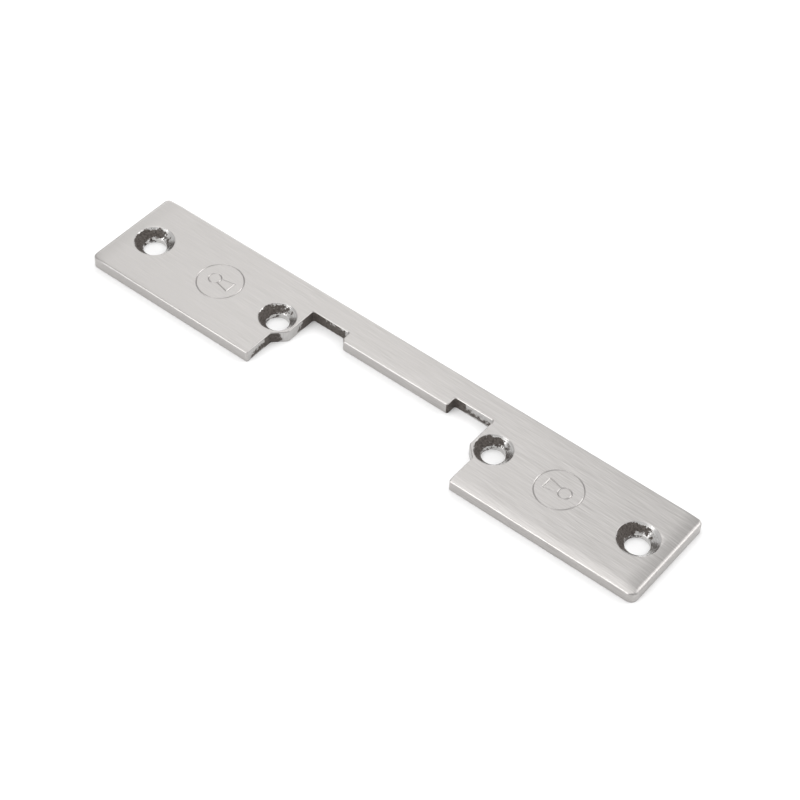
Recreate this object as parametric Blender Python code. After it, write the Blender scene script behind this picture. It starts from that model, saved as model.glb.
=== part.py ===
"""Short flat face plate of an electric door strike, one solid piece of brushed stainless steel.

Run it with:  blender --background --python part.py

Units are metres.  The plate lies on its back face, the face that meets the door frame.
+X runs along the plate, +Y towards the long edge without a cut-out, +Z out of the show face.
The origin is the middle of the back face.

The latch bolt sweeps through a window that is open towards -Y.  A tongue stands into the middle
of the window, and a boss at each end of it carries a countersunk hole for the strike's own screw.
The outer pair of countersunk holes takes the screws that go into the door frame.
"""

import math

import bmesh
import bpy
from mathutils import Vector

# The blank
PLATE_LENGTH = 0.1470
PLATE_WIDTH = 0.0250
PLATE_THICKNESS = 0.0030
CUT_SIDE_CORNER_RADIUS = 0.0017
BACK_SIDE_CORNER_RADIUS = 0.0012
SHOW_EDGE_ROUNDING = 0.00035

# The window for the latch bolt, open on the -Y side
TONGUE_LENGTH = 0.0291
TONGUE_REACH = 0.0027
BRIDGE_WIDTH = 0.00605
TONGUE_CORNER_RADIUS = 0.0005
INSIDE_CORNER_RADIUS = 0.0005
WINDOW_MOUTH_RADIUS = 0.00045
BOSS_CORNER_RADIUS = 0.0010

# The outer pair of holes, for the screws into the door frame
FRAME_HOLE_END_MARGIN = 0.0076
FRAME_HOLE_DIAMETER = 0.0054
FRAME_RIM_DIAMETER = 0.0092

# The inner pair of holes, for the screws into the strike behind the plate
STRIKE_HOLE_SPACING = 0.0590
STRIKE_HOLE_DIAMETER = 0.0053
STRIKE_RIM_DIAMETER = 0.0086

# The boss round each inner hole: the land between rim and window, beside it and at its 45 degree
# cut, and how far that cut runs along the plate
BOSS_SIDE_LAND = 0.00055
BOSS_CUT_LAND = 0.0005
BOSS_CUT_WIDTH = 0.00275

COUNTERSINK_ANGLE = math.radians(90.0)
CUTTER_OVERSHOOT = 0.0010

# Fineness of the facets
CORNER_SEGMENTS = 5
EDGE_SEGMENTS = 3
HOLE_SEGMENTS = 48
SMOOTH_ANGLE = math.radians(35.0)
PLACE_TOLERANCE = 1e-6

STEEL_COLOR = (0.62, 0.60, 0.58, 1.0)
STEEL_ROUGHNESS = 0.38

# Places that follow from the sizes above
HALF_LENGTH = PLATE_LENGTH / 2
HALF_WIDTH = PLATE_WIDTH / 2
HOLE_Y = 0.0
FRAME_HOLE_X = HALF_LENGTH - FRAME_HOLE_END_MARGIN
STRIKE_HOLE_X = STRIKE_HOLE_SPACING / 2
TONGUE_END_X = TONGUE_LENGTH / 2
NOTCH_Y = HALF_WIDTH - BRIDGE_WIDTH
TONGUE_Y = NOTCH_Y - TONGUE_REACH
BOSS_SIDE_X = STRIKE_HOLE_X - STRIKE_RIM_DIAMETER / 2 - BOSS_SIDE_LAND
WINDOW_END_X = BOSS_SIDE_X + BOSS_CUT_WIDTH
# On the boss's 45 degree cut, the distances from the hole in x and in y always add up to this.
BOSS_CUT_SUM = (STRIKE_RIM_DIAMETER / 2 + BOSS_CUT_LAND) * math.sqrt(2)
BOSS_CUT_HIGH_Y = HOLE_Y - (BOSS_CUT_SUM - (STRIKE_HOLE_X - BOSS_SIDE_X))
BOSS_CUT_LOW_Y = HOLE_Y - (BOSS_CUT_SUM - (STRIKE_HOLE_X - WINDOW_END_X))


def clear_scene():
    for obj in list(bpy.data.objects):
        bpy.data.objects.remove(obj, do_unlink=True)


def right_half_corners():
    """Sharp corners of the outline's +X half as (x, y, radius), from the tongue round to the back."""
    return [
        (TONGUE_END_X, TONGUE_Y, TONGUE_CORNER_RADIUS),
        (TONGUE_END_X, NOTCH_Y, INSIDE_CORNER_RADIUS),
        (BOSS_SIDE_X, NOTCH_Y, INSIDE_CORNER_RADIUS),
        (BOSS_SIDE_X, BOSS_CUT_HIGH_Y, BOSS_CORNER_RADIUS),
        (WINDOW_END_X, BOSS_CUT_LOW_Y, INSIDE_CORNER_RADIUS),
        (WINDOW_END_X, -HALF_WIDTH, WINDOW_MOUTH_RADIUS),
        (HALF_LENGTH, -HALF_WIDTH, CUT_SIDE_CORNER_RADIUS),
        (HALF_LENGTH, HALF_WIDTH, BACK_SIDE_CORNER_RADIUS),
    ]


def plate_corners():
    """The whole outline, counterclockwise seen from above: the right half, then its mirror image."""
    right = right_half_corners()
    left = [(-x, y, radius) for x, y, radius in reversed(right)]
    return right + left


def rounded_outline(corners):
    """Replace each sharp corner with an arc of its radius and return the points in order."""
    points = []
    for index, (x, y, radius) in enumerate(corners):
        corner = Vector((x, y))
        before = Vector(corners[index - 1][:2])
        after = Vector(corners[(index + 1) % len(corners)][:2])
        to_before = (before - corner).normalized()
        to_after = (after - corner).normalized()
        half_angle = to_before.angle(to_after) / 2
        bisector = (to_before + to_after).normalized()
        center = corner + bisector * radius / math.sin(half_angle)
        tangent = radius / math.tan(half_angle)
        start = corner + to_before * tangent - center
        end = corner + to_after * tangent - center
        sweep = start.angle_signed(end)
        for step in range(CORNER_SEGMENTS + 1):
            turn = -sweep * step / CORNER_SEGMENTS
            arm = Vector((
                start.x * math.cos(turn) - start.y * math.sin(turn),
                start.x * math.sin(turn) + start.y * math.cos(turn),
            ))
            points.append(center + arm)
    return points


def is_handled_edge(edge):
    """True for a show-face edge that a hand can meet: the blank's own outline and the tongue's front."""
    if any(abs(vert.co.z - PLATE_THICKNESS) > PLACE_TOLERANCE for vert in edge.verts):
        return False
    middle = (edge.verts[0].co + edge.verts[1].co) / 2
    at_end = abs(middle.x) > HALF_LENGTH - CUT_SIDE_CORNER_RADIUS
    at_side = abs(middle.y) > HALF_WIDTH - PLACE_TOLERANCE
    at_tongue = abs(middle.y - TONGUE_Y) < PLACE_TOLERANCE
    return at_end or at_side or at_tongue


def make_plate(name):
    """Extrude the rounded outline to the plate's thickness and round the edges that a hand can meet."""
    bm = bmesh.new()
    outline = [bm.verts.new((p.x, p.y, 0.0)) for p in rounded_outline(plate_corners())]
    back = bm.faces.new(outline)
    raised = bmesh.ops.extrude_face_region(bm, geom=[back], use_keep_orig=True)
    top = [item for item in raised["geom"] if isinstance(item, bmesh.types.BMVert)]
    bmesh.ops.translate(bm, verts=top, vec=(0.0, 0.0, PLATE_THICKNESS))
    bmesh.ops.recalc_face_normals(bm, faces=bm.faces)
    bmesh.ops.bevel(
        bm,
        geom=[edge for edge in bm.edges if is_handled_edge(edge)],
        offset=SHOW_EDGE_ROUNDING,
        offset_type="OFFSET",
        affect="EDGES",
        segments=EDGE_SEGMENTS,
        profile=0.5,
        material=-1,
        clamp_overlap=True,
    )
    bmesh.ops.recalc_face_normals(bm, faces=bm.faces)
    return finish_mesh(bm, name)


def make_hole_cutter(name, x, hole_diameter, rim_diameter):
    """Turn a countersunk hole's profile round its own axis, standing proud of both faces."""
    hole_radius = hole_diameter / 2
    rim_radius = rim_diameter / 2
    slope = math.tan(COUNTERSINK_ANGLE / 2)
    root_z = PLATE_THICKNESS - (rim_radius - hole_radius) / slope
    top_z = PLATE_THICKNESS + CUTTER_OVERSHOOT
    top_radius = rim_radius + CUTTER_OVERSHOOT * slope
    profile = [
        (0.0, -CUTTER_OVERSHOOT),
        (hole_radius, -CUTTER_OVERSHOOT),
        (hole_radius, root_z),
        (top_radius, top_z),
        (0.0, top_z),
    ]
    bm = bmesh.new()
    verts = [bm.verts.new((radius, 0.0, z)) for radius, z in profile]
    edges = [bm.edges.new(pair) for pair in zip(verts, verts[1:])]
    bmesh.ops.spin(
        bm,
        geom=verts + edges,
        cent=(0.0, 0.0, 0.0),
        axis=(0.0, 0.0, 1.0),
        angle=math.tau,
        steps=HOLE_SEGMENTS,
        use_merge=True,
    )
    bmesh.ops.remove_doubles(bm, verts=bm.verts, dist=PLACE_TOLERANCE)
    bmesh.ops.recalc_face_normals(bm, faces=bm.faces)
    cutter = finish_mesh(bm, name)
    cutter.location = (x, HOLE_Y, 0.0)
    cutter.hide_render = True
    cutter.display_type = "WIRE"
    return cutter


def finish_mesh(bm, name):
    mesh = bpy.data.meshes.new(name)
    bm.to_mesh(mesh)
    bm.free()
    mesh.shade_smooth()
    mesh.set_sharp_from_angle(angle=SMOOTH_ANGLE)
    obj = bpy.data.objects.new(name, mesh)
    bpy.context.scene.collection.objects.link(obj)
    return obj


def cut(target, cutter):
    modifier = target.modifiers.new(cutter.name, "BOOLEAN")
    modifier.operation = "DIFFERENCE"
    modifier.solver = "EXACT"
    modifier.object = cutter


def brushed_steel():
    material = bpy.data.materials.new("brushed_stainless")
    material.use_nodes = True
    shader = material.node_tree.nodes["Principled BSDF"]
    shader.inputs["Base Color"].default_value = STEEL_COLOR
    shader.inputs["Metallic"].default_value = 1.0
    shader.inputs["Roughness"].default_value = STEEL_ROUGHNESS
    return material


def main():
    clear_scene()
    plate = make_plate("face_plate")
    plate.data.materials.append(brushed_steel())
    for side, sign in (("left", -1), ("right", 1)):
        frame_hole = make_hole_cutter(
            f"frame_hole_{side}", sign * FRAME_HOLE_X, FRAME_HOLE_DIAMETER, FRAME_RIM_DIAMETER)
        strike_hole = make_hole_cutter(
            f"strike_hole_{side}", sign * STRIKE_HOLE_X, STRIKE_HOLE_DIAMETER, STRIKE_RIM_DIAMETER)
        cut(plate, frame_hole)
        cut(plate, strike_hole)


main()
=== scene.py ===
# %% [markdown]
# # The face plate of an electric door strike
#
# The real object is one bar of stainless steel, about 3 mm thick. Such a bar can be stamped to its
# outline, drilled and countersunk for four screws, and ground along its length on a belt. The packed CAD
# model has the outline and the holes, but only flat facets. This script makes the same plate again as it
# might leave a grinding shop: edges softened by the belt, a faint roll-off round the rim, engraved
# pictograms, brushed grain, and dark polishing compound in the recesses.

# %% Load the packed plate
import math

import bmesh
import bpy
from mathutils import Matrix, Vector


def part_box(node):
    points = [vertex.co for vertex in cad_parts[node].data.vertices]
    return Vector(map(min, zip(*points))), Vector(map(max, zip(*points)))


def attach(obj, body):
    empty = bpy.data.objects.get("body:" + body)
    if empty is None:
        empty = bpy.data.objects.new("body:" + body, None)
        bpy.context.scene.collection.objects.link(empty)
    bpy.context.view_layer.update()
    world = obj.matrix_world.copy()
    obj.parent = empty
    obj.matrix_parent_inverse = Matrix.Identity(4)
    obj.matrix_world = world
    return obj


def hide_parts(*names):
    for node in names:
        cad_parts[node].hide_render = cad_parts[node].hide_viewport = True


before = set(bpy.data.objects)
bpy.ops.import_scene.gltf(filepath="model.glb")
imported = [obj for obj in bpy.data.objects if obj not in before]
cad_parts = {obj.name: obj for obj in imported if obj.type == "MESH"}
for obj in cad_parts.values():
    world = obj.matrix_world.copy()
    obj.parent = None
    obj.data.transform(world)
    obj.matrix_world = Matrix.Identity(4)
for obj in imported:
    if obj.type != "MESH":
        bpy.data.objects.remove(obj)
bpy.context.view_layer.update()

plate_low, plate_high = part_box("face_plate")
print("CAD box in mm:", [round(size * 1000, 2) for size in plate_high - plate_low])

# %% [markdown]
# ## Sizes
#
# The overall sizes come from the CAD box, so the finished plate can't drift away from it. The window and
# the holes repeat the CAD model's own values. Everything else, such as the place of the boss round each
# inner hole, is worked out from those, which is how a drawing is dimensioned too.

# %% Sizes of the plate
MM = 0.001

HALF_LENGTH = plate_high.x
HALF_WIDTH = plate_high.y
THICKNESS = plate_high.z

# The four screw holes lie on the middle line. Each has the radius of its bore and of its rim.
STRIKE_HOLE_X = 29.5 * MM
FRAME_HOLE_FROM_END = 7.6 * MM
FRAME_HOLE_X = HALF_LENGTH - FRAME_HOLE_FROM_END
STRIKE_HOLE = {"bore": 2.65 * MM, "rim": 4.3 * MM}
FRAME_HOLE = {"bore": 2.7 * MM, "rim": 4.6 * MM}
print("screw holes at", [round(x / MM, 2) for x in (STRIKE_HOLE_X, FRAME_HOLE_X)], "mm from the middle")

# %% Sizes of the window
TONGUE_END_X = 14.55 * MM
TONGUE_REACH = 2.7 * MM
BRIDGE_WIDTH = 6.05 * MM
BOSS_CUT_WIDTH = 2.75 * MM

# The land is the strip of metal left between a hole's rim and the window.
BOSS_SIDE_LAND = 0.55 * MM
BOSS_CUT_LAND = 0.5 * MM

BOSS_SIDE_X = STRIKE_HOLE_X - STRIKE_HOLE["rim"] - BOSS_SIDE_LAND
WINDOW_END_X = BOSS_SIDE_X + BOSS_CUT_WIDTH
NOTCH_Y = HALF_WIDTH - BRIDGE_WIDTH
TONGUE_Y = NOTCH_Y - TONGUE_REACH

# The boss's 45 degree cut passes the rim at a fixed distance, so x and y along it share one sum.
boss_cut_sum = (STRIKE_HOLE["rim"] + BOSS_CUT_LAND) * math.sqrt(2)
BOSS_CUT_HIGH_Y = -(boss_cut_sum - (STRIKE_HOLE_X - BOSS_SIDE_X))
BOSS_CUT_LOW_Y = -(boss_cut_sum - (STRIKE_HOLE_X - WINDOW_END_X))
print("window from", round(-WINDOW_END_X / MM, 2), "to", round(WINDOW_END_X / MM, 2), "mm")

# %% [markdown]
# ## The outline
#
# A stamped outline is straight lines joined by small arcs. The outline could be drawn arc by arc, but a
# flat face with sharp corners is easier to read and to change: each corner is then rounded by a vertex
# bevel. The bevel's offset is measured along the edges, so a corner's radius is first turned into the
# length of its tangent. Both halves are alike, except that the tongue's left corner is worn rounder.

# %% Draw the outline with sharp corners
TONGUE_RADIUS = 0.5 * MM
WORN_TONGUE_RADIUS = 0.9 * MM
INSIDE_RADIUS = 0.5 * MM
BOSS_RADIUS = 1.0 * MM
WINDOW_MOUTH_RADIUS = 0.45 * MM
CUT_SIDE_RADIUS = 1.7 * MM
BACK_SIDE_RADIUS = 1.2 * MM


def right_corners():
    """Corners of the +X half as (x, y, radius), from the tongue round to the back edge."""
    return [
        (TONGUE_END_X, TONGUE_Y, TONGUE_RADIUS),
        (TONGUE_END_X, NOTCH_Y, INSIDE_RADIUS),
        (BOSS_SIDE_X, NOTCH_Y, INSIDE_RADIUS),
        (BOSS_SIDE_X, BOSS_CUT_HIGH_Y, BOSS_RADIUS),
        (WINDOW_END_X, BOSS_CUT_LOW_Y, INSIDE_RADIUS),
        (WINDOW_END_X, -HALF_WIDTH, WINDOW_MOUTH_RADIUS),
        (HALF_LENGTH, -HALF_WIDTH, CUT_SIDE_RADIUS),
        (HALF_LENGTH, HALF_WIDTH, BACK_SIDE_RADIUS),
    ]


def all_corners():
    """The right half and its mirror image, with the worn corner in place of the tongue's left one."""
    right = right_corners()
    left = [(-x, y, radius) for x, y, radius in reversed(right)]
    left[-1] = (-TONGUE_END_X, TONGUE_Y, WORN_TONGUE_RADIUS)
    return right + left


plate = bmesh.new()
corners = all_corners()
corner_verts = [plate.verts.new((x, y, 0.0)) for x, y, _ in corners]
plate.faces.new(corner_verts)
print("outline corners:", len(corner_verts))

# %% Round each corner with a vertex bevel
ARC_SEGMENTS = 8


def tangent_length(vert, radius):
    """How far along its edges an arc of this radius starts from the corner."""
    arms = [(edge.other_vert(vert).co - vert.co).normalized() for edge in vert.link_edges]
    return radius / math.tan(arms[0].angle(arms[1]) / 2)


for vert, (_, _, radius) in zip(corner_verts, corners):
    bmesh.ops.bevel(
        plate,
        geom=[vert],
        offset=tangent_length(vert, radius),
        affect="VERTICES",
        segments=ARC_SEGMENTS,
        profile=0.5,
        material=-1,
    )
print("outline points with arcs:", len(plate.verts))

# %% Raise it to the plate's thickness
raised = bmesh.ops.extrude_face_region(plate, geom=plate.faces[:], use_keep_orig=True)
raised_verts = [item for item in raised["geom"] if isinstance(item, bmesh.types.BMVert)]
bmesh.ops.translate(plate, verts=raised_verts, vec=(0.0, 0.0, THICKNESS))
bmesh.ops.recalc_face_normals(plate, faces=plate.faces)
print("volume of the blank in cubic mm:", round(plate.calc_volume() / MM ** 3))

# %% [markdown]
# ## Three kinds of edge
#
# The belt runs off the plate at its two ends, so it rounds those most. It softens the long edges and the
# window's edges less, and on the back all edges are barely broken. One Bevel modifier does all three,
# because it can read a weight from each edge. Where one kind turns into another, the weight has to change
# gradually round the arc: a sudden step would make the bevel fold over itself.

# %% Weigh each edge for the bevel
NEAR = 0.01 * MM
END_ROUNDING = 0.80 * MM
SIDE_ROUNDING = 0.33 * MM
BROKEN = 0.12 * MM
WINDOW_ZONE = WINDOW_END_X + 1.0 * MM


def show_rounding(first, second):
    """The rounding's width at an edge of the show face, from where it lies and which way it runs."""
    middle = (first + second) / 2
    if abs(middle.x) < WINDOW_ZONE:
        return SIDE_ROUNDING
    runs_along = abs((second - first).normalized().x)
    return END_ROUNDING + (SIDE_ROUNDING - END_ROUNDING) * runs_along


def rounding(edge):
    """The rounding's width at any edge. The upright ones were rounded with the outline."""
    first, second = (vert.co for vert in edge.verts)
    if abs(first.z - second.z) > NEAR:
        return 0.0
    return BROKEN if first.z < NEAR else show_rounding(first, second)


weights = plate.edges.layers.float.new("bevel_weight_edge")
for edge in plate.edges:
    edge[weights] = rounding(edge) / END_ROUNDING
print("edges weighed:", len(plate.edges))

# %% Bevel them all at once
EDGE_SEGMENTS = 5


def link_object(name, bm):
    """Turn a bmesh into an object in the scene and free the bmesh."""
    mesh = bpy.data.meshes.new(name)
    bm.to_mesh(mesh)
    bm.free()
    obj = bpy.data.objects.new(name, mesh)
    bpy.context.scene.collection.objects.link(obj)
    return obj


blank = link_object("blank", plate)
bevel = blank.modifiers.new("edges", "BEVEL")
bevel.limit_method = "WEIGHT"
bevel.width = END_ROUNDING
bevel.segments = EDGE_SEGMENTS
bevel.use_clamp_overlap = False
print("bevel up to", round(bevel.width / MM, 2), "mm wide")

# %% Bake the bevel into the mesh
def baked(obj):
    """The object's shape with its modifiers, as a new bmesh. The object itself is removed."""
    evaluated = obj.evaluated_get(bpy.context.evaluated_depsgraph_get())
    shape = bmesh.new()
    shape.from_mesh(evaluated.to_mesh())
    evaluated.to_mesh_clear()
    bpy.data.objects.remove(obj, do_unlink=True)
    return shape


plate = baked(blank)
print("faces after the bevel:", len(plate.faces))

# %% [markdown]
# ## Roll-off
#
# A belt is soft, so it grinds a little more off the rim than off the middle. The drop stays under half a
# millimetre even at a corner, where two drops add up, and it is least along the back. That is little, but
# it sets how the metal looks: the tilted strip mirrors another part of the room, and that is where the
# bright and dark bands along the edges come from. The show face is first sliced into narrow strips with
# bisect_plane, so that it has points to move. Then every point sinks by a parabola of its distance to the
# edge. The belt is pressed harder towards the right end, so the drop along both sides grows that way.

# %% Slice the show face into strips beside each ground edge
END_ROLL = {"width": 4.4 * MM, "drop": 0.27 * MM, "rounding": END_ROUNDING, "strips": 14}
FRONT_ROLL = {"width": 2.5 * MM, "drop": 0.27 * MM, "rounding": SIDE_ROUNDING, "strips": 11}
BACK_ROLL = {"width": 3.0 * MM, "drop": 0.04 * MM, "rounding": SIDE_ROUNDING, "strips": 6}
TONGUE_ROLL = {"width": 1.9 * MM, "drop": 0.18 * MM, "rounding": SIDE_ROUNDING, "strips": 8}
STRIP_GROWTH = 1.3
SLICE_SNAP = NEAR / 50


def slice_at(bm, axis, place):
    """Cut the whole plate with a plane across one axis, which adds edges and moves nothing."""
    point, normal = Vector(), Vector()
    point[axis] = place
    normal[axis] = 1.0
    geometry = bm.verts[:] + bm.edges[:] + bm.faces[:]
    bmesh.ops.bisect_plane(bm, geom=geometry, plane_co=point, plane_no=normal, dist=SLICE_SNAP)


def strip_distances(roll):
    """Distances from the edge, starting where its own rounding ends, in strips that grow inwards."""
    start, strips = roll["rounding"], roll["strips"]
    room = roll["width"] - start
    return [start + room * (step / strips) ** STRIP_GROWTH for step in range(1, strips + 1)]


for distance in strip_distances(END_ROLL):
    slice_at(plate, 0, HALF_LENGTH - distance)
    slice_at(plate, 0, distance - HALF_LENGTH)
for distance in strip_distances(FRONT_ROLL):
    slice_at(plate, 1, distance - HALF_WIDTH)
for distance in strip_distances(BACK_ROLL):
    slice_at(plate, 1, HALF_WIDTH - distance)
for distance in strip_distances(TONGUE_ROLL):
    slice_at(plate, 1, TONGUE_Y + distance)
print("faces after slicing:", len(plate.faces))

# %% Let the rim sink
MIDDLE_PRESSURE = 0.85
PRESSURE_GAIN = 0.45
TONGUE_FADE = 1.5 * MM


def parabola(distance, roll):
    """The drop at this distance from an edge: full at the edge and 0 at the roll's width."""
    near = max(0.0, 1.0 - distance / roll["width"])
    return roll["drop"] * near * near


def fade(value, start, end):
    """A smooth step from 0 at start to 1 at end."""
    part = min(1.0, max(0.0, (value - start) / (end - start)))
    return part * part * (3 - 2 * part)


def roll_off(point):
    """How far the belt has lowered the show face at this place."""
    reach = abs(point.x)
    pressed = MIDDLE_PRESSURE + PRESSURE_GAIN * point.x / HALF_LENGTH
    sides = parabola(point.y + HALF_WIDTH, FRONT_ROLL) + parabola(HALF_WIDTH - point.y, BACK_ROLL)
    drop = parabola(HALF_LENGTH - reach, END_ROLL) + pressed * sides
    on_tongue = 1.0 - fade(reach, TONGUE_END_X, TONGUE_END_X + TONGUE_FADE)
    return drop + on_tongue * parabola(point.y - TONGUE_Y, TONGUE_ROLL)


for vert in plate.verts:
    vert.co.z -= roll_off(vert.co) * vert.co.z / THICKNESS
print("largest roll-off in mm:", round(max(roll_off(v.co) for v in plate.verts) / MM, 3))
blank = link_object("rolled_blank", plate)

# %% [markdown]
# ## Countersunk holes
#
# A countersink is a turned shape, so its cutter is turned as well: half of its section is spun round the
# hole's axis. The section has a straight bore, a 90 degree cone for the screw's head, and a narrow break
# at the rim, as a deburring tool would leave. The cutter stands proud of both faces, because a Boolean
# between faces that lie in one plane is unreliable.

# %% Turn a cutter for each hole
HOLE_STEPS = 72
PROUD = 1.0 * MM
RIM_BREAK = 0.05 * MM
RIM_BREAK_WIDTH = 5 * RIM_BREAK


def hole_profile(hole):
    """The cutter's half section as (radius, height), from the bottom of the bore to the top."""
    bore, rim = hole["bore"], hole["rim"]
    cone_foot_z = THICKNESS - (rim - bore)
    return [
        (0.0, -PROUD),
        (bore, -PROUD),
        (bore, cone_foot_z),
        (rim - RIM_BREAK, THICKNESS - RIM_BREAK),
        (rim + RIM_BREAK_WIDTH, THICKNESS + RIM_BREAK),
        (rim + RIM_BREAK_WIDTH, THICKNESS + PROUD),
        (0.0, THICKNESS + PROUD),
    ]


def turned_cutter(name, profile, centre):
    """Spin a half section round the vertical axis through the centre."""
    bm = bmesh.new()
    verts = [bm.verts.new((centre.x + radius, centre.y, z)) for radius, z in profile]
    edges = [bm.edges.new(pair) for pair in zip(verts, verts[1:])]
    bmesh.ops.spin(
        bm,
        geom=verts + edges,
        cent=centre,
        axis=(0.0, 0.0, 1.0),
        angle=math.tau,
        steps=HOLE_STEPS,
        use_merge=True,
    )
    bmesh.ops.remove_doubles(bm, verts=bm.verts, dist=NEAR / 10)
    bmesh.ops.recalc_face_normals(bm, faces=bm.faces)
    return link_object(name, bm)


holes = []
for side in (-1, 1):
    holes.append((Vector((side * FRAME_HOLE_X, 0.0, 0.0)), FRAME_HOLE))
    holes.append((Vector((side * STRIKE_HOLE_X, 0.0, 0.0)), STRIKE_HOLE))
cutters = [turned_cutter("hole_cutter", hole_profile(hole), centre) for centre, hole in holes]
print("hole cutters:", len(cutters))

# %% [markdown]
# ## Engraved pictograms
#
# Each end carries a shallow engraving. A keyhole in a ring says lock hardware without being anyone's mark.
# It is drawn in V grooves, as an engraving needle leaves them. A round groove is a triangle spun into a
# ring, and a straight one is a triangle drawn out into a bar. A cut groove catches the light on one flank
# and loses it on the other from any side, which a painted line can't do.

# %% Groove cutters
MARK_X = 46.2 * MM
GROOVE_HALF_WIDTH = 0.17 * MM
GROOVE_DEPTH = 0.12 * MM
STEPS_PER_MM = 18
LEAST_STEPS = 32


def groove_section():
    """The V as (sideways, height): its tip below the face and its open end above it."""
    return [
        (-2 * GROOVE_HALF_WIDTH, THICKNESS + GROOVE_DEPTH),
        (0.0, THICKNESS - GROOVE_DEPTH),
        (2 * GROOVE_HALF_WIDTH, THICKNESS + GROOVE_DEPTH),
    ]


def round_groove(centre, radius):
    """A cutter for a circular groove: the triangle spun round the centre."""
    bm = bmesh.new()
    verts = [bm.verts.new((centre.x + radius + side, centre.y, z)) for side, z in groove_section()]
    edges = [bm.edges.new((verts[i], verts[i - 1])) for i in range(3)]
    bmesh.ops.spin(
        bm,
        geom=verts + edges,
        cent=centre,
        axis=(0.0, 0.0, 1.0),
        angle=math.tau,
        steps=max(LEAST_STEPS, round(radius / MM * STEPS_PER_MM)),
        use_merge=True,
    )
    bmesh.ops.recalc_face_normals(bm, faces=bm.faces)
    return link_object("round_groove", bm)


def straight_groove(start, end):
    """A cutter for a straight groove: the triangle drawn out from start to end."""
    bm = bmesh.new()
    sideways = Vector((0.0, 0.0, 1.0)).cross(end - start).normalized()
    places = [start + sideways * side + Vector((0.0, 0.0, z)) for side, z in groove_section()]
    section = bm.faces.new([bm.verts.new(place) for place in places])
    drawn = bmesh.ops.extrude_face_region(bm, geom=[section], use_keep_orig=True)
    far_verts = [item for item in drawn["geom"] if isinstance(item, bmesh.types.BMVert)]
    bmesh.ops.translate(bm, verts=far_verts, vec=end - start)
    bmesh.ops.recalc_face_normals(bm, faces=bm.faces)
    return link_object("straight_groove", bm)


groove_size = [round(size / MM, 2) for size in (2 * GROOVE_HALF_WIDTH, GROOVE_DEPTH)]
print("groove width and depth in mm:", groove_size)

# %% Draw a keyhole in a ring on each end
RING_RADIUS = 5.3 * MM
HEAD_RADIUS = 1.45 * MM
HEAD_OFFSET = 1.5 * MM
SKIRT_IN_MM = [(0.35, -0.70), (-3.1, -1.45), (-3.1, 1.45), (0.35, 0.70)]


def keyhole_mark(outward):
    """The grooves of one mark. Its top points to the plate's end, which is outward."""
    centre = Vector((outward * MARK_X, 0.0, 0.0))
    along = Vector((outward, 0.0, 0.0))
    skirt = [centre + Vector((outward * x * MM, y * MM, 0.0)) for x, y in SKIRT_IN_MM]
    ring = round_groove(centre, RING_RADIUS)
    head = round_groove(centre + along * HEAD_OFFSET, HEAD_RADIUS)
    return [ring, head] + [straight_groove(start, end) for start, end in zip(skirt, skirt[1:])]


for outward in (-1, 1):
    cutters += keyhole_mark(outward)
print("cutters in all:", len(cutters))

# %% Cut them all and keep the result as one mesh
for cutter in cutters:
    cut = blank.modifiers.new("cut", "BOOLEAN")
    cut.operation = "DIFFERENCE"
    cut.solver = "EXACT"
    cut.object = cutter
plate = baked(blank)
for cutter in cutters:
    bpy.data.objects.remove(cutter, do_unlink=True)
print("faces after cutting:", len(plate.faces))

# %% [markdown]
# ## Which surface is which
#
# The plate has five finishes: the ground outside, the stamped walls of the window, the machined
# countersinks, the engraved grooves and the back. Each face gets the number of its finish from where it
# lies and how it is tilted. The grain needs a direction as well, so a UV map called grain is laid out in
# metres: its first axis runs with the belt, along the plate on the long sides and across it on the two
# ends. In a countersink the same map holds the offset from the hole's own axis, so that one material can
# serve all four holes.

# %% Sort the faces and lay out the grain
GROUND, WINDOW, COUNTERSINK, ENGRAVED, BACK = range(5)

# A normal's Z is above LEVEL on a level face, below UPRIGHT on a wall and below UNDERSIDE on the back.
# Its X or Y is past FACING on a side that looks along that axis.
LEVEL = 0.9
UPRIGHT = 0.2
UNDERSIDE = -0.5
FACING = 0.75
HOLE_MARGIN = 3 * RIM_BREAK
MARK_REACH = RING_RADIUS + 2 * GROOVE_HALF_WIDTH


def hole_at(point):
    """The hole whose cone or bore this point lies on, if any."""
    for centre, hole in holes:
        if (point.xy - centre.xy).length < hole["rim"] + HOLE_MARGIN:
            return centre, hole
    return None


def finish_of(face):
    """The number of a face's finish, from its middle and its tilt."""
    middle = face.calc_center_median()
    if face.normal.z < UNDERSIDE:
        return BACK
    if hole_at(middle) and face.normal.z < LEVEL:
        return COUNTERSINK
    from_mark = math.hypot(abs(middle.x) - MARK_X, middle.y)
    if from_mark < MARK_REACH and face.normal.z < LEVEL:
        return ENGRAVED
    in_window = abs(middle.x) < WINDOW_END_X + NEAR and middle.y < NOTCH_Y + NEAR
    on_tongue_front = abs(middle.x) < TONGUE_END_X and abs(middle.y - TONGUE_Y) < NEAR
    if in_window and face.normal.z < UPRIGHT and not on_tongue_front:
        return WINDOW
    return GROUND


def grain_of(face, point):
    """Grain coordinates in metres: along the belt's path, then across it. Offsets in a countersink."""
    if face.material_index == COUNTERSINK:
        centre, _ = hole_at(face.calc_center_median())
        return point.x - centre.x, point.y - centre.y
    if abs(face.normal.x) > FACING:
        return point.y, point.z + point.x
    if abs(face.normal.y) > FACING:
        return point.x, point.z + point.y
    return point.x, point.y


plate.normal_update()
grain = plate.loops.layers.uv.new("grain")
for face in plate.faces:
    face.smooth = True
    face.material_index = finish_of(face)
    for loop in face.loops:
        loop[grain].uv = grain_of(face, loop.vert.co)
counts = [sum(face.material_index == kind for face in plate.faces) for kind in range(5)]
print("faces ground, window, countersink, engraved, back:", counts)

# %% Make it an object with firm shading on its flats
SHARP = math.radians(32)
FLATS_FIRST = 90

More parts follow.
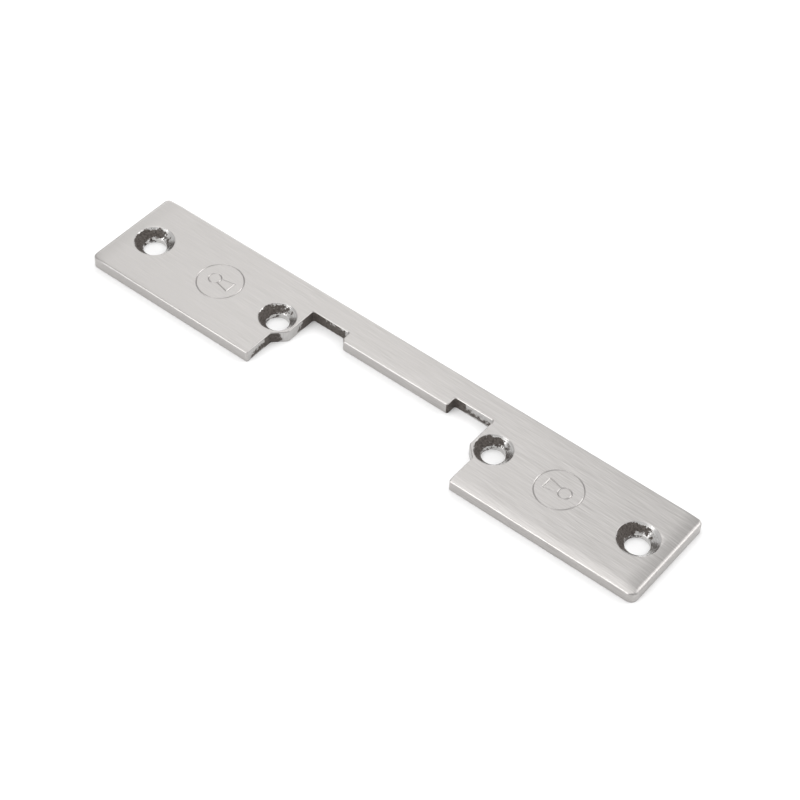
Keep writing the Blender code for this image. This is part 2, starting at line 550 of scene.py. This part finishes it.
body = link_object("brushed_face_plate", plate)
body.data.set_sharp_from_angle(angle=SHARP)
shading = body.modifiers.new("flat_shading", "WEIGHTED_NORMAL")
shading.mode = "FACE_AREA"
shading.weight = FLATS_FIRST
shading.keep_sharp = True
print("vertices:", len(body.data.vertices))

# %% [markdown]
# ## Node helpers
#
# A material here is a small node tree, and a class of short calls keeps the trees readable. They add a
# node and set or link its inputs, do arithmetic, rescale a value, mix colours and make noise. Streaks are
# ordinary noise read through stretched coordinates, long with the grain and short across it. The grain
# call gives those coordinates from the UV map.

# %% Helpers for building materials
class Tree:
    """A material's node tree, with short calls for adding and joining nodes."""

    def __init__(self, name):
        self.material = bpy.data.materials.new(name)
        self.material.use_nodes = True
        self.nodes = self.material.node_tree.nodes
        self.links = self.material.node_tree.links
        self.shader = self.nodes["Principled BSDF"]

    def add(self, kind, inputs=(), **settings):
        """Add a node, set its properties, then put a value into each named input."""
        node = self.nodes.new(kind)
        for key, value in settings.items():
            setattr(node, key, value)
        for key, value in dict(inputs).items():
            self.put(value, node.inputs[key])
        return node

    def put(self, value, socket):
        """Link a socket if the value comes from a node, or set it if it is a constant."""
        if isinstance(value, bpy.types.NodeSocket):
            self.links.new(value, socket)
        else:
            socket.default_value = value

    def math(self, operation, first, second):
        return self.add("ShaderNodeMath", {0: first, 1: second}, operation=operation).outputs[0]

    def remap(self, value, low, high, to_low=0.0, to_high=1.0):
        """Rescale a value from one range to another, and hold it inside the second."""
        node = self.add(
            "ShaderNodeMapRange",
            {"Value": value, "From Min": low, "From Max": high, "To Min": to_low, "To Max": to_high},
        )
        return node.outputs["Result"]

    def mix(self, factor, first, second):
        """The first colour at factor 0 and the second at 1."""
        node = self.add("ShaderNodeMix", data_type="RGBA")
        self.put(factor, node.inputs[0])
        self.put(first, node.inputs[6])
        self.put(second, node.inputs[7])
        return node.outputs[2]

    def noise(self, vector, scale, detail=2.0, roughness=0.5):
        inputs = {"Vector": vector, "Scale": scale, "Detail": detail, "Roughness": roughness}
        return self.add("ShaderNodeTexNoise", inputs).outputs["Fac"]

    def place(self):
        return self.add("ShaderNodeTexCoord").outputs["Object"]

    def grain(self, length, width, turn=0.0):
        """Grain coordinates in units of one streak, this long and this wide."""
        uv = self.add("ShaderNodeUVMap", uv_map="grain").outputs["UV"]
        turned = self.add("ShaderNodeMapping", {"Vector": uv, "Rotation": (0.0, 0.0, turn)})
        inputs = {"Vector": turned.outputs[0], "Scale": (1 / length, 1 / width, 1.0)}
        return self.add("ShaderNodeMapping", inputs).outputs["Vector"]

    def bump(self, height, distance):
        inputs = {"Height": height, "Distance": distance, "Strength": 1.0}
        return self.add("ShaderNodeBump", inputs).outputs["Normal"]


print("calls for building materials:", [name for name in vars(Tree) if not name.startswith("_")])

# %% [markdown]
# ## Ground steel
#
# A belt leaves fine parallel lines. They blur a reflection across the lines and keep it crisp along them,
# which the shader's anisotropy gives, with its tangent turned across the grain. Over that lie visible
# lines: fine grain, broader strokes where the belt was worn, strokes of a second pass at a slight angle,
# and a few bright scratches. A scratch is the same streaky noise, kept only where it is highest. The
# lines are stronger towards the right end, where the belt was pressed harder. Tone, roughness and bump
# all read the same lines, as they would on real metal. Only the scratches are left out of the bump,
# because their steep flanks would turn into dark dashes.

# %% The lines that a belt leaves
DEGREE = math.radians(1.0)

# Each kind of stroke as (length, width, turn, detail, share of the whole).
STROKES = [
    (7.0 * MM, 0.13 * MM, 0.0, 2.0, 0.4),
    (15.0 * MM, 0.40 * MM, -2.0 * DEGREE, 3.0, 0.3),
    (8.0 * MM, 0.30 * MM, 8.0 * DEGREE, 3.0, 0.3),
]


def belt_lines(tree):
    """All kinds of stroke added up, around 0.5."""
    total = 0.0
    for length, width, turn, detail, share in STROKES:
        streaks = tree.noise(tree.grain(length, width, turn), 1.0, detail)
        total = tree.math("ADD", total, tree.math("MULTIPLY", streaks, share))
    return total


SCRATCH_SOFTNESS = 0.06


def scratches(tree, length, width, turn, lowest):
    """1 on a few long thin lines and 0 elsewhere."""
    streaks = tree.noise(tree.grain(length, width, turn), 1.0, detail=1.0)
    return tree.remap(streaks, lowest, lowest + SCRATCH_SOFTNESS)


print("kinds of stroke:", len(STROKES))

# %% Ground steel
STEEL = (0.442, 0.427, 0.416, 1.0)
STEEL_DARK = (0.318, 0.304, 0.294, 1.0)
STEEL_LIGHT = (0.566, 0.550, 0.538, 1.0)
SCRATCH_STRENGTH = 0.7
LINE_HEIGHT = 0.004 * MM


def evenness_along(tree):
    """How much of the plain steel tone hides the lines: much at the left, less at the right."""
    cloud = tree.remap(tree.noise(tree.place(), 90.0), 0.3, 0.7, -0.15, 0.15)
    along_plate = tree.add("ShaderNodeSeparateXYZ", {"Vector": tree.place()}).outputs["X"]
    return tree.math("ADD", tree.remap(along_plate, -55 * MM, 50 * MM, 0.82, 0.42), cloud)


def ground_steel():
    tree = Tree("ground_steel")
    lines = belt_lines(tree)
    along = scratches(tree, 8.0 * MM, 0.15 * MM, 1.0 * DEGREE, 0.70)
    crossing = scratches(tree, 6.0 * MM, 0.14 * MM, -7.0 * DEGREE, 0.74)
    scratch = tree.math("MULTIPLY", tree.math("MAXIMUM", along, crossing), SCRATCH_STRENGTH)

    lined = tree.mix(tree.remap(lines, 0.36, 0.64), STEEL_DARK, STEEL_LIGHT)
    scratched = tree.mix(scratch, lined, STEEL_LIGHT)
    colour = tree.mix(evenness_along(tree), scratched, STEEL)
    tree.put(colour, tree.shader.inputs["Base Color"])
    tree.put(tree.remap(lines, 0.3, 0.7, 0.27, 0.32), tree.shader.inputs["Roughness"])
    tree.put(tree.bump(lines, LINE_HEIGHT), tree.shader.inputs["Normal"])
    tree.shader.inputs["Metallic"].default_value = 1.0
    tree.shader.inputs["Anisotropic"].default_value = 0.8
    tree.shader.inputs["Anisotropic Rotation"].default_value = 0.25
    tangent = tree.add("ShaderNodeTangent", direction_type="UV_MAP", uv_map="grain")
    tree.put(tangent.outputs["Tangent"], tree.shader.inputs["Tangent"])
    return tree.material


materials = [ground_steel()]
print("made", materials[-1].name)

# %% [markdown]
# ## Polishing compound in the recesses
#
# A plate like this can be tumbled with a dark compound before it is ground. The belt cleans the faces
# that it reaches, and the compound stays where it doesn't: in the cones of the screw holes and in the
# corners of the window. Such a stain has a hard, ragged border. So a soft number says how likely the
# stain is at each place, and noise with plenty of detail pushes it over a sharp threshold.

# %% A ragged stain from a soft likelihood
COMPOUND_DARK = (0.036, 0.028, 0.023, 1.0)
COMPOUND_LIGHT = (0.098, 0.084, 0.074, 1.0)
COMPOUND_ROUGHNESS = 0.62


def ragged(tree, likelihood, size, rag):
    """0 on clean metal and 1 on stain: the likelihood, torn up by noise, through a steep threshold."""
    torn = tree.noise(tree.place(), 1 / size, detail=5.0, roughness=0.78)
    push = tree.math("MULTIPLY", tree.math("SUBTRACT", torn, 0.5), rag)
    return tree.remap(tree.math("ADD", likelihood, push), 0.47, 0.53)


def stain_over(tree, stain, clean_colour, clean_roughness, height, depth):
    """Finish a material whose clean metal is covered by stain in places."""
    mottle = tree.noise(tree.place(), 2600.0, detail=3.0)
    compound = tree.mix(tree.remap(mottle, 0.35, 0.65), COMPOUND_DARK, COMPOUND_LIGHT)
    roughness = tree.remap(stain, 0.0, 1.0, clean_roughness, COMPOUND_ROUGHNESS)
    metallic = tree.math("SUBTRACT", 1.0, tree.math("MULTIPLY", stain, 0.85))
    raised_height = tree.math("ADD", height, tree.math("MULTIPLY", stain, 0.5))
    tree.put(tree.mix(stain, clean_colour, compound), tree.shader.inputs["Base Color"])
    tree.put(roughness, tree.shader.inputs["Roughness"])
    tree.put(metallic, tree.shader.inputs["Metallic"])
    tree.put(tree.bump(raised_height, depth), tree.shader.inputs["Normal"])


print("compound from", COMPOUND_DARK[:3], "to", COMPOUND_LIGHT[:3])

# %% [markdown]
# ## Machined countersinks
#
# A countersink bit leaves bright, fine rings and no grain. The rings run round the hole, so they depend
# only on the distance to its axis and on the height. The compound lies thick on the left flank, and thins
# out at the rim and down in the bore. The distance and the flank are both read from the offset that the
# grain map holds in a hole.

# %% The machined countersinks
CONE_DARK = (0.42, 0.41, 0.40, 1.0)
CONE_LIGHT = (0.82, 0.81, 0.80, 1.0)
STAINED_FLANK = (-0.93, -0.22, 0.0)
FLANK_REACH = 4.0 * MM
RECESS_BUMP = 0.03 * MM


def countersink_steel():
    tree = Tree("countersink_steel")
    from_axis = tree.add("ShaderNodeUVMap", uv_map="grain").outputs["UV"]
    radius = tree.add("ShaderNodeVectorMath", {0: from_axis}, operation="LENGTH").outputs["Value"]
    height = tree.add("ShaderNodeSeparateXYZ", {"Vector": tree.place()}).outputs["Z"]

    section = tree.add("ShaderNodeCombineXYZ", {"X": radius, "Y": height}).outputs[0]
    rings = tree.noise(section, 5200.0, detail=1.0)

    toward = tree.add("ShaderNodeVectorMath", {0: from_axis, 1: STAINED_FLANK}, operation="DOT_PRODUCT")
    flank = tree.remap(toward.outputs["Value"], -FLANK_REACH, FLANK_REACH, -0.30, 0.34)
    below_rim = tree.remap(height, THICKNESS, THICKNESS - 0.6 * MM, 0.14, 0.60)
    above_bore = tree.remap(height, 1.0 * MM, 1.5 * MM, 0.5, 1.0)
    likely = tree.math("ADD", tree.math("MULTIPLY", below_rim, above_bore), flank)
    stain = ragged(tree, likely, 1.1 * MM, rag=1.7)

    clean = tree.mix(rings, CONE_DARK, CONE_LIGHT)
    stain_over(tree, stain, clean, 0.22, tree.math("MULTIPLY", rings, 0.3), RECESS_BUMP)
    return tree.material


materials.append(countersink_steel())
print("made", materials[-1].name)

# %% [markdown]
# ## Stamped walls of the window
#
# A punch shears the upper part of a wall clean and tears the rest, which leaves short upright streaks. No
# belt reaches in here, so the walls stay duller than the faces. The compound has settled in the corners
# and along the notches. Each such place is a spot with a reach and a strength, and the strongest spot
# wins. Lower down the stain is likelier, except on the lowest half millimetre, which stays bright.

# %% Where the compound has settled
# Each place as (x, y, full to, gone at, strength). A weaker spot climbs less far up the wall.
SETTLED = [
    (-WINDOW_END_X, BOSS_CUT_LOW_Y, 1.5 * MM, 3.0 * MM, 1.0),
    (-WINDOW_END_X, BOSS_CUT_LOW_Y - 3.4 * MM, 2.8 * MM, 4.4 * MM, 0.52),
    (-BOSS_SIDE_X, NOTCH_Y, 3.0 * MM, 6.0 * MM, 1.0),
    (-TONGUE_END_X - 5.6 * MM, NOTCH_Y, 4.2 * MM, 5.4 * MM, 0.80),
    (TONGUE_END_X, TONGUE_Y, 1.6 * MM, 2.6 * MM, 1.0),
    (TONGUE_END_X, NOTCH_Y, 1.7 * MM, 4.8 * MM, 1.0),
    (TONGUE_END_X + 6.5 * MM, NOTCH_Y, 3.4 * MM, 4.8 * MM, 0.45),
]


def settled_compound(tree, split):
    """How likely a stain is, from the nearness of the settled places."""
    spot = tree.add("ShaderNodeCombineXYZ", {"X": split.outputs["X"], "Y": split.outputs["Y"]}).outputs[0]
    likely = 0.0
    for x, y, full, gone, strength in SETTLED:
        away = tree.add("ShaderNodeVectorMath", {0: spot, 1: (x, y, 0.0)}, operation="DISTANCE")
        near = tree.remap(away.outputs["Value"], full, gone, 0.8 * strength, 0.0)
        likely = tree.math("MAXIMUM", likely, near)
    return likely


print("places where compound has settled:", len(SETTLED))

# %% The stamped walls of the window
WALL_DARK = (0.40, 0.39, 0.38, 1.0)
WALL_LIGHT = (0.56, 0.55, 0.54, 1.0)
TEARS_PER_METRE = (3000.0, 3000.0, 500.0)


def window_steel():
    tree = Tree("window_steel")
    split = tree.add("ShaderNodeSeparateXYZ", {"Vector": tree.place()})
    near_back = tree.remap(split.outputs["Z"], 0.2 * MM, THICKNESS, 0.36, -0.16)
    worn_rim = tree.remap(split.outputs["Z"], 0.05 * MM, 0.55 * MM, -0.65, 0.0)
    likely = tree.math("ADD", settled_compound(tree, split), tree.math("ADD", near_back, worn_rim))
    stain = ragged(tree, likely, 0.9 * MM, rag=1.3)

    tall = tree.add("ShaderNodeMapping", {"Vector": tree.place(), "Scale": TEARS_PER_METRE})
    tears = tree.noise(tall.outputs["Vector"], 1.0)
    clean = tree.mix(tears, WALL_DARK, WALL_LIGHT)
    stain_over(tree, stain, clean, 0.42, tree.math("MULTIPLY", tears, 0.4), RECESS_BUMP)
    return tree.material


materials.insert(WINDOW, window_steel())
print("made", materials[WINDOW].name)

# %% [markdown]
# ## Engraved grooves
#
# A fresh cut is plain steel without grain. It holds only a trace of compound, because its light and dark
# come from the tilt of its two flanks. Much stain would darken both flanks alike and flatten the groove.

# %% The engraved grooves
GROOVE_STEEL = (0.46, 0.445, 0.435, 1.0)


def engraved_steel():
    tree = Tree("engraved_steel")
    trace = tree.remap(tree.noise(tree.place(), 900.0, detail=3.0), 0.35, 0.65, 0.0, 0.14)
    stain_over(tree, trace, GROOVE_STEEL, 0.34, trace, 0.01 * MM)
    return tree.material


materials.append(engraved_steel())
print("made", materials[ENGRAVED].name)

# %% [markdown]
# ## The back
#
# Nobody sees the back once the plate is screwed on, so there is no need to grind it. It gets the finish
# of plain rolled sheet: duller than the front, cloudy, with only a trace of grain and a few dark spots.

# %% Mill-finished back
MILL_DARK = (0.40, 0.39, 0.385, 1.0)
MILL_LIGHT = (0.52, 0.515, 0.51, 1.0)


def mill_steel():
    tree = Tree("mill_steel")
    rolled = tree.noise(tree.grain(9.0 * MM, 0.5 * MM), 1.0, detail=3.0)
    cloud = tree.noise(tree.place(), 180.0, detail=4.0)
    clean = tree.mix(rolled, MILL_DARK, MILL_LIGHT)
    stain = ragged(tree, tree.remap(cloud, 0.3, 0.8, 0.0, 0.55), 2.4 * MM, rag=0.5)
    stain_over(tree, tree.math("MULTIPLY", stain, 0.7), clean, 0.46, rolled, 0.01 * MM)
    return tree.material


materials.append(mill_steel())
for material in materials:
    body.data.materials.append(material)
print("finishes:", [material.name for material in materials])

# %% [markdown]
# ## Joining the frame
#
# The finished plate stands for the CAD node, which stays in the physics model. It rides on the only body
# that a part without joints has.

# %% Stand in for the CAD node
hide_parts("face_plate")
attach(body, "root")
print("piece size in mm:", [round(value / MM, 2) for value in body.dimensions])

# %% [markdown]
# ## The studio
#
# The plate lies on a white sweep in a bright room. Ground metal shows the room more than itself, so the
# room matters as much as the finish does. Six soft boxes, each about a metre wide, stand round the
# plate. The one overhead lights the front roll-off, the pair on the right at the back draws the bright
# line along the near end, and the gap beside them leaves that end its dark band. Large boxes keep the
# metal from glaring when it is seen from another side. A lamp's strength is given as the brightness of
# its cloth, because that is what the metal mirrors. Blender wants watts, so it is multiplied by the area
# and by pi.

# %% A white sweep for the plate to lie on
FLOOR_HALF_SIZE = 4.0
FLOOR_WHITE = (0.96, 0.96, 0.96, 1.0)
FLOOR_GAP = 0.02 * MM
floor_mesh = bmesh.new()
bmesh.ops.create_grid(floor_mesh, x_segments=1, y_segments=1, size=FLOOR_HALF_SIZE)
bmesh.ops.translate(floor_mesh, verts=floor_mesh.verts, vec=(0.0, 0.0, -FLOOR_GAP))
floor = link_object("floor", floor_mesh)
sweep = Tree("white_sweep")
sweep.shader.inputs["Base Color"].default_value = FLOOR_WHITE
sweep.shader.inputs["Roughness"].default_value = 0.9
sweep.shader.inputs["Specular IOR Level"].default_value = 0.1
floor.data.materials.append(sweep.material)
print("floor", 2 * FLOOR_HALF_SIZE, "m wide")

# %% The room's own light
ROOM_GLOW = 0.74
world = bpy.data.worlds.new("white_room")
world.use_nodes = True
world.node_tree.nodes["Background"].inputs["Color"].default_value = (1.0, 1.0, 1.0, 1.0)
world.node_tree.nodes["Background"].inputs["Strength"].default_value = ROOM_GLOW
bpy.context.scene.world = world
print("room glow:", ROOM_GLOW)

# %% Soft boxes round the plate
BOX_DISTANCE = 1.6

# Each as (degrees round the plate from +X, degrees above the floor, width in metres, brightness).
SOFT_BOXES = {
    "overhead": (-120, 78, 1.25, 1.35),
    "front": (-108, 18, 1.0, 3.1),
    "right_rear_low": (46, 32, 0.83, 1.95),
    "right_rear_high": (62, 46, 0.83, 1.35),
    "left_rear_low": (132, 14, 0.83, 1.95),
    "left_rear_high": (135, 54, 0.83, 0.9),
}


def soft_box(name, around, height, size, brightness):
    """A square lamp on a stand that faces the plate."""
    around, height = math.radians(around), math.radians(height)
    toward = Vector((
        math.cos(around) * math.cos(height),
        math.sin(around) * math.cos(height),
        math.sin(height),
    ))
    data = bpy.data.lights.new(name, "AREA")
    data.shape = "SQUARE"
    data.size = size
    data.energy = brightness * math.pi * size ** 2
    lamp = bpy.data.objects.new(name, data)
    lamp.location = toward * BOX_DISTANCE
    lamp.rotation_mode = "QUATERNION"
    lamp.rotation_quaternion = toward.to_track_quat("Z", "Y")
    lamp.visible_camera = False
    bpy.context.scene.collection.objects.link(lamp)


for name, setting in SOFT_BOXES.items():
    soft_box(name, *setting)
print("soft boxes:", len(SOFT_BOXES))

# %% [markdown]
# ## The camera
#
# A long lens from the front right, looking down at just under 50 degrees. The camera is described the way
# a tripod is set up: where it stands round the plate, how high, how far, and how much it is tilted. A
# long lens keeps the two ends of a long, thin thing close to the same size. The Standard view transform
# leaves the greys as they are rendered.

# %% Set up the camera
AZIMUTH = math.radians(36.2)
ELEVATION = math.radians(47.67)
TILT = math.radians(3.27)
DISTANCE = 467.7 * MM
AIM_RIGHT = 3.75 * MM
AIM_UP = -1.93 * MM
LENS = 98.6


def place_camera():
    """A camera that looks at the plate's middle, moved a little sideways and turned by the tilt."""
    back = Vector((
        math.sin(AZIMUTH) * math.cos(ELEVATION),
        -math.cos(AZIMUTH) * math.cos(ELEVATION),
        math.sin(ELEVATION),
    ))
    level = Vector((math.cos(AZIMUTH), math.sin(AZIMUTH), 0.0))
    upright = back.cross(level)
    right = math.cos(TILT) * level + math.sin(TILT) * upright
    up = -math.sin(TILT) * level + math.cos(TILT) * upright
    data = bpy.data.cameras.new("camera")
    data.lens = LENS
    data.sensor_width = 36.0
    data.clip_start = 0.01
    data.clip_end = 20.0
    camera = bpy.data.objects.new("camera", data)
    turn = Matrix((right, up, back)).transposed().to_4x4()
    spot = DISTANCE * back + AIM_RIGHT * right + AIM_UP * up
    camera.matrix_world = Matrix.Translation(spot) @ turn
    bpy.context.scene.collection.objects.link(camera)
    return camera


bpy.context.scene.camera = place_camera()
bpy.context.scene.view_settings.view_transform = "Standard"
print("camera", round(DISTANCE / MM), "mm away with a", LENS, "mm lens")

# The finished plate has to fit inside the CAD box.
